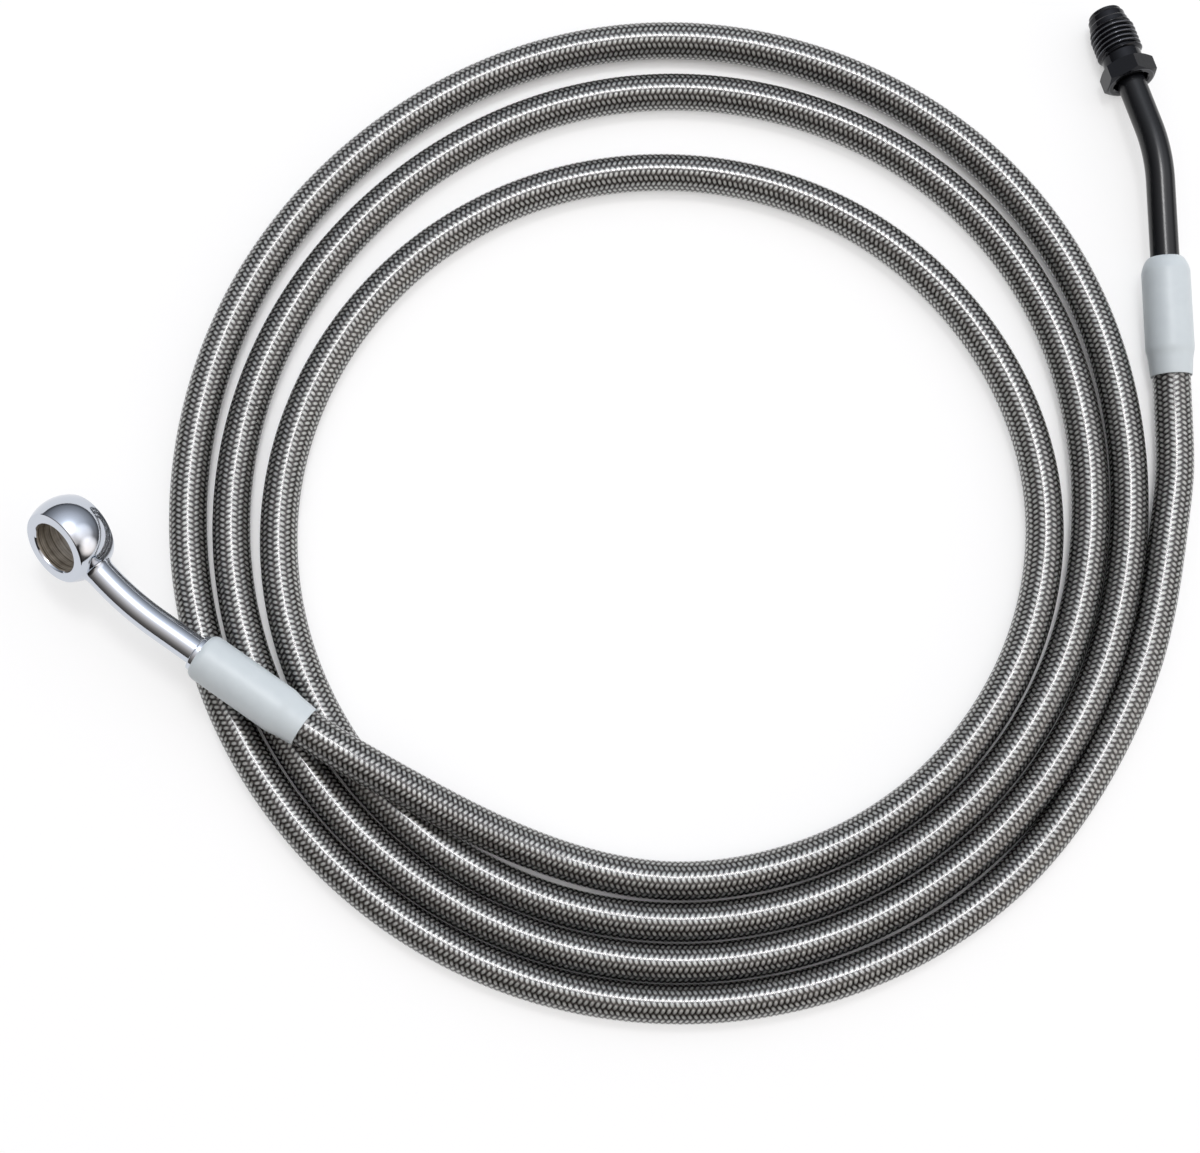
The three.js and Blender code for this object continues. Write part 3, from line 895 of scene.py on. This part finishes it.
def makeFlareSleeve():
    # shrunk round the ferrule's front, down to the tube
    outer, bore, shoulder = crimp["sleeveRadius"], crimp["sleeveBore"], crimp["shoulder"]
    corners = quarterRound(crimp["mouthRadius"], outer, shoulder) + sleeveTail()
    corners += quarterRound(crimp["mouthBore"], bore, shoulder - (outer - bore))[::-1]
    corners.append((crimp["mouthBore"], 0, 0))
    return settle(turnedPiece("flareSleeve", corners, flarePlace, sleevePolyolefin), "sleeve_plastic",
                  "flare_sleeve")


makeFerrule()
makeBanjoSleeve()
flareSleeve = makeFlareSleeve()
print("sleeves made")

# the flare end: black tube with its flared mouth, and the loose nut on it
flare = {
    "bendRadius": 40.0,
    "straightEnd": 1.4,     # mm from the tip, as the next three
    "coneStart": 1.2,
    "lip": 0.7,
    "edge": 0.15,
    "edgeDrop": 0.12,
    "radius": 3.4,
    "throatBore": 2.2,
    "mouthBore": 2.5,
}
nut = {
    "front": 1.0,           # mm from the flare's tip, as all the depths here
    "seatRadius": 3.55,
    "bore": 3.2,
    "pilotRadius": 3.85,
    "pilotEnd": 2.3,
    "pilotSlope": 0.3,      # mm, at both ends of the pilot
    "threadLead": 2.6,      # mm over which the first turns grow to the full thread
    "rootRadius": 4.05,
    "crestRadius": 4.7,
    "pitch": 1.06,
    "threadEnd": 10.9,
    "threadRootEnd": 11.1,
    "threadMargin": 0.3,    # mm before the thread's end at which the ridge stops
    "threadFade": 0.5,      # turns over which it dies out
    "neckRadius": 4.1,
    "hexFront": 13.0,
    "hexBack": 16.9,
    "acrossFlats": 10.0,
    "hexTurn": 27.0,        # degrees that the loose nut is turned from a flat on top
    "cutAlong": (-5.0, 30.0),   # mm from the tip between which the six flats are cut
    "chamfer": 0.55,
    "beyondHex": 0.1,       # mm that the turned blank stands out past the hex's corners
    "edgeRounding": 0.15,
    "recessRadius": 3.6,
    "recessDepth": 2.0,
    "recessChamfer": 0.3,
    "boreChamfers": (0.35, 0.4),    # mm, at the front and at the recess
    "ridgeFoot": 0.5,       # mm, half the width of the thread's ridge at its root
    "ridgeShape": [(0.14, 0.2), (0.03, 0.1)],   # mm below the crest and to the side of it
    "ridgeSunk": 0.15,      # mm that the ridge starts inside the nut's body
    "ridgeLeast": 0.01,     # mm that it stands out where it starts and ends
    "ridgeSteps": 60,       # for one turn
}
flareTip = rowPoint(route["flareTip"])
flareBack = unit(np.subtract(route["flareCorner"], route["flareTip"]))
nutPlace = frameAt(flareTip, flareBack)
nutBlack = blackMaterial("black oxide steel, satin", "nut", (nutPlace, nut["crestRadius"]))


def makeFlareTube():
    start = rowPoint(flareMouth + flareIntoHose * banjo["tubeDepth"])
    straight = flareTip + flareBack * flare["straightEnd"]
    bent = bentLine(start, rowPoint(route["flareCorner"]), straight, flare["bendRadius"])
    depths = flare["coneStart"], flare["lip"], flare["edge"], 0.0
    line = np.concatenate([bent, np.array([flareTip + flareBack * depth for depth in depths])])
    outer = np.full(len(line), banjo["tubeRadius"])
    outer[-3:] = flare["radius"], flare["radius"], flare["radius"] - flare["edgeDrop"]
    bore = np.full(len(line), banjo["tubeBore"])
    bore[-3:] = flare["throatBore"], flare["mouthBore"], flare["mouthBore"] + flare["edge"]
    return settle(sweptShell("flareTube", line, outer, bore, tubeBlack), "black_steel", "flare_tube")


def makeNut():
    corner = nut["acrossFlats"] / math.sqrt(3)
    blank = corner + nut["beyondHex"]
    hexFace = (nut["acrossFlats"] - nut["chamfer"]) / 2
    front, back, chamfer, rounding = nut["hexFront"], nut["hexBack"], nut["chamfer"], nut["edgeRounding"]
    pilot, slope, root = nut["pilotRadius"], nut["pilotSlope"], nut["rootRadius"]
    recess, recessEdge, recessEnd = nut["recessRadius"], nut["recessChamfer"], back - nut["recessDepth"]
    frontCone, backCone = nut["boreChamfers"]
    corners = [
        (pilot, nut["front"], slope), (pilot, nut["pilotEnd"], 0), (root, nut["pilotEnd"] + slope, 0),
        (root, nut["threadRootEnd"], 0), (nut["neckRadius"], front, 0), (hexFace, front, rounding),
        (blank, front + chamfer, 0), (blank, back - chamfer, 0), (hexFace, back, rounding),
        (recess + recessEdge, back, 0), (recess, back - recessEdge, 0), (recess, recessEnd, 0),
        (nut["bore"], recessEnd - backCone, 0), (nut["bore"], nut["front"] + frontCone, 0),
        (nut["seatRadius"], nut["front"], 0),
    ]
    body = turnedPiece("flareNut", corners, nutPlace, nutBlack, fineness["widest"])
    start, end = (flareTip + flareBack * depth for depth in nut["cutAlong"])
    hexBar = solidBar("hexBar", corner, start, end, 6, math.radians(nut["hexTurn"] + 30))
    carve(body, hexBar, "INTERSECT", 25)
    return settle(body, "black_steel", "flare_nut", body="nut")


def makeThread():
    # one ridge wound round the nut, which grows over the lead and dies out at the back
    perTurn = nut["ridgeSteps"]
    foot = nut["ridgeFoot"]
    start, end = nut["pilotEnd"] + foot, nut["threadEnd"] - nut["threadMargin"]
    count = int((end - start) / nut["pitch"] * perTurn)
    step = np.arange(count + 1)
    origin, x, y, z = nutPlace
    angle = 2 * math.pi * step / perTurn
    spoke = np.cos(angle)[:, None] * x + np.sin(angle)[:, None] * y
    depth = start + nut["pitch"] * step / perTurn
    root = nut["rootRadius"] - nut["ridgeSunk"]
    lead = np.clip((depth - nut["pilotEnd"]) / nut["threadLead"], 0, 1)
    fade = np.clip((count - step) / (perTurn * nut["threadFade"]), 0, 1)
    full = nut["pilotRadius"] + (nut["crestRadius"] - nut["pilotRadius"]) * lead
    least = nut["rootRadius"] + nut["ridgeLeast"]
    crest = least + np.maximum(full - least, 0) * fade
    front = [(np.full(len(step), root), -foot)]
    front += [(crest - drop, -across) for drop, across in nut["ridgeShape"]]
    back = [(radius, -across) for radius, across in front[::-1]]
    corners = [*front, (crest, 0.0), *back]
    rings = np.stack([origin + (depth + across)[:, None] * z + radius[:, None] * spoke
                      for radius, across in corners], axis=1)
    faces = ringFaces(len(step), len(corners), closed=False).tolist()
    faces.append(list(range(len(corners))))
    faces.append([count * len(corners) + k for k in range(len(corners))])
    ridge = sharpen(newObject("flareNutThread", rings.reshape(-1, 3) * mm, faces, nutBlack), 50)
    return settle(ridge, "black_steel", "flare_nut", body="nut")


flareTube = makeFlareTube()
flareNut = makeNut()
flareThread = makeThread()
print("flare end made")

# the pieces inside the crimps stay as the CAD has them, in turned steel
turnedSteel = bareSteelMaterial("turned steel, bare", banjoPlace, "turned")
slotMaterials = {
    "chrome_plate": chromePlate, "plain_steel": turnedSteel, "sleeve_plastic": sleevePolyolefin,
    "clear_cover": clearPvcSkin, "braid_wire": braidMetal, "liner_plastic": linerPtfe,
    "black_steel": tubeBlack,
}
for subpart in frame["record"]["subparts"]:
    node = frame["nodes"][subpart["node"]]
    node.data.materials.clear()
    node.data.materials.append(slotMaterials[subpart["material_slot"]])
print("materials given to the CAD pieces")

# the table top, white paper, matt: it keeps the hose's shadow and is otherwise as white as the background
floor = {
    "colour": "FFFFFF",
    "size": 3.0,            # m
    "grainSize": 1.1,       # mm
    "roughness": 0.9,
    "unevenness": 0.05,
    "seenWhite": 0.62,      # how far the open paper is seen as plain white, which lightens its shadows
    "shadowReach": 9.0,     # mm from the paper within which the hose hides it
    "shadowSamples": 6,
    "openness": (0.16, 0.32),   # at which its shadow is full, and is at its lightest
}


def addFloor():
    material, tree = newMaterial("white paper, matt")
    rough = uneven(tree, noise(tree, floor["grainSize"]), floor["roughness"], floor["unevenness"])
    paper = addNode(tree, "BsdfPrincipled", {"Base Color": hexColour(floor["colour"])},
                    {"Roughness": (rough, 0)})
    white = addNode(tree, "Emission", {"Strength": 1.0})
    near = addNode(tree, "AmbientOcclusion", {
        "samples": floor["shadowSamples"], "Distance": floor["shadowReach"] * mm,
    })
    openness = ramp(tree, (near, "AO"), *floor["openness"], high=floor["seenWhite"])
    share = seenShare(tree, (openness, 0))
    mixed = addNode(tree, "MixShader", links={0: (share, 0), 1: (paper, 0), 2: (white, 0)})
    addNode(tree, "OutputMaterial", links={"Surface": (mixed, 0)})
    half = floor["size"] / 2
    corners = [(-half, -half, 0), (half, -half, 0), (half, half, 0), (-half, half, 0)]
    newObject("tableTop", corners, [[0, 1, 2, 3]], material, smooth=False)


def seenShare(tree, share):
    # a share for rays that are seen straight, in a mirror or through the clear cover, and none for lighting
    ray = addNode(tree, "LightPath")
    mirrored = reckon(tree, "MAXIMUM", (ray, "Is Camera Ray"), (ray, "Is Glossy Ray"))
    seen = reckon(tree, "MAXIMUM", (mirrored, 0), (ray, "Is Transmission Ray"))
    return reckon(tree, "MULTIPLY", (seen, 0), share)


# one large softbox overhead that fades out all round, two soft lights at the right, and a dim room with
# dark things in front, cool behind and warm in front
lights = {
    "toward": (8.0, 15.0),  # degrees from straight up, to the right and to the back
    "fade": [               # degrees from the softbox's middle, and the brightness there
        (0, 3.8), (10, 3.2), (16, 2.1), (24, 1.3), (34, 0.95), (44, 0.72), (54, 0.5), (68, 0.3), (80, 0.17),
        (90, 0.12),
    ],
    "horizon": (0.0, 0.18), # height of the dark band above the horizon, as sines
    "horizonShade": 0.5,
    "backward": (-0.6, 0.5),    # from where to where the room turns from warm to cool
    "glow": [
        {"azimuth": -26.0, "elevation": 20.0, "radius": (6.0, 28.0), "brightness": 1.4},
        {"azimuth": 8.0, "elevation": 42.0, "radius": (8.0, 28.0), "brightness": 0.7},
    ],
    "dark": [
        {"azimuth": -90.0, "elevation": 22.0, "radius": (24.0, 42.0), "shade": 0.2},
        {"azimuth": -50.0, "elevation": 35.0, "radius": (8.0, 18.0), "shade": 0.05},
    ],
    "cool": "E8EDF6",
    "warm": "FFF4EA",
    "core": {"toward": (3.0, 14.5), "power": 3.2, "size": 0.26, "distance": 1.2},   # W and m
}


def upward(across, back):
    return unit((math.tan(math.radians(across)), math.tan(math.radians(back)), 1.0))


def skyward(azimuth, elevation):
    a, e = math.radians(azimuth), math.radians(elevation)
    return math.cos(e) * math.cos(a), math.cos(e) * math.sin(a), math.sin(e)


def spotMask(tree, look, patch, inside, outside):
    # one value inside a round patch of the room and another outside it
    centre = skyward(patch["azimuth"], patch["elevation"])
    core, rim = (math.cos(math.radians(degrees)) for degrees in patch["radius"])
    facing = addNode(tree, "VectorMath", {"operation": "DOT_PRODUCT", 1: centre},
                     {0: (look, "Generated")})
    return ramp(tree, (facing, "Value"), rim, core, outside, inside, smooth=True)


def softboxFade(tree, look):
    # brightness by the angle from the softbox's middle, as a share of the highest, and that highest; the
    # curve runs from 0 to 1, so it takes half the angle
    facing = addNode(tree, "VectorMath", {
        "operation": "DOT_PRODUCT", 1: tuple(upward(*lights["toward"])),
    }, {0: (look, "Generated")})
    angle = reckon(tree, "ARCCOSINE", (facing, "Value"))
    half = reckon(tree, "MULTIPLY", (angle, 0), 0.5)
    fade = addNode(tree, "FloatCurve", links={1: (half, 0)})
    curve = fade.mapping.curves[0]
    scale = max(brightness for degrees, brightness in lights["fade"])
    for k, (degrees, brightness) in enumerate(lights["fade"]):
        spot = (math.radians(degrees) / 2, brightness / scale)
        if k < 2:
            curve.points[k].location = spot
        else:
            curve.points.new(*spot)
    fade.mapping.update()
    return fade, scale


def addRoom():
    world = bpy.data.worlds.new("room")
    world.use_nodes = True
    bpy.context.scene.world = world
    tree = world.node_tree
    tree.nodes.clear()
    look = addNode(tree, "TexCoord")
    fade, scale = softboxFade(tree, look)
    split = addNode(tree, "SeparateXYZ", links={0: (look, "Generated")})
    horizon = ramp(tree, (split, "Z"), *lights["horizon"], low=lights["horizonShade"], smooth=True)
    dome = reckon(tree, "MULTIPLY", (fade, 0), (horizon, 0))
    for patch in lights["dark"]:
        dimmed = spotMask(tree, look, patch, inside=patch["shade"], outside=1.0)
        dome = reckon(tree, "MULTIPLY", (dome, 0), (dimmed, 0))
    bright = reckon(tree, "MULTIPLY", (dome, 0), scale)
    for patch in lights["glow"]:
        glow = spotMask(tree, look, patch, inside=patch["brightness"], outside=0.0)
        bright = reckon(tree, "ADD", (bright, 0), (glow, 0))
    backward = ramp(tree, (split, "Y"), *lights["backward"])
    tint = mixColours(tree, (backward, 0), lights["warm"], lights["cool"])
    room = addNode(tree, "Background", links={"Color": (tint, 2), "Strength": (bright, 0)})
    paper = addNode(tree, "Background", {"Color": (1, 1, 1, 1), "Strength": 1.0})
    ray = addNode(tree, "LightPath")
    mixed = addNode(tree, "MixShader",
                    links={0: (ray, "Is Camera Ray"), 1: (room, 0), 2: (paper, 0)})
    addNode(tree, "OutputWorld", links={"Surface": (mixed, 0)})


def addSoftboxCore():
    # the bright middle of the softbox, which draws the thin white line along the hose
    core = lights["core"]
    toward = upward(*core["toward"])
    lamp = bpy.data.lights.new("softboxCore", "AREA")
    lamp.shape = "DISK"
    lamp.size = core["size"]
    lamp.energy = core["power"]
    holder = addObject("softboxCore", lamp)
    holder.location = tuple(toward * core["distance"])
    holder.rotation_euler = (-math.atan2(toward[1], math.hypot(toward[0], toward[2])),
                             math.atan2(toward[0], toward[2]), 0)


addFloor()
addRoom()
addSoftboxCore()
bpy.context.scene.view_settings.view_transform = "Standard"
print("floor and lights placed")
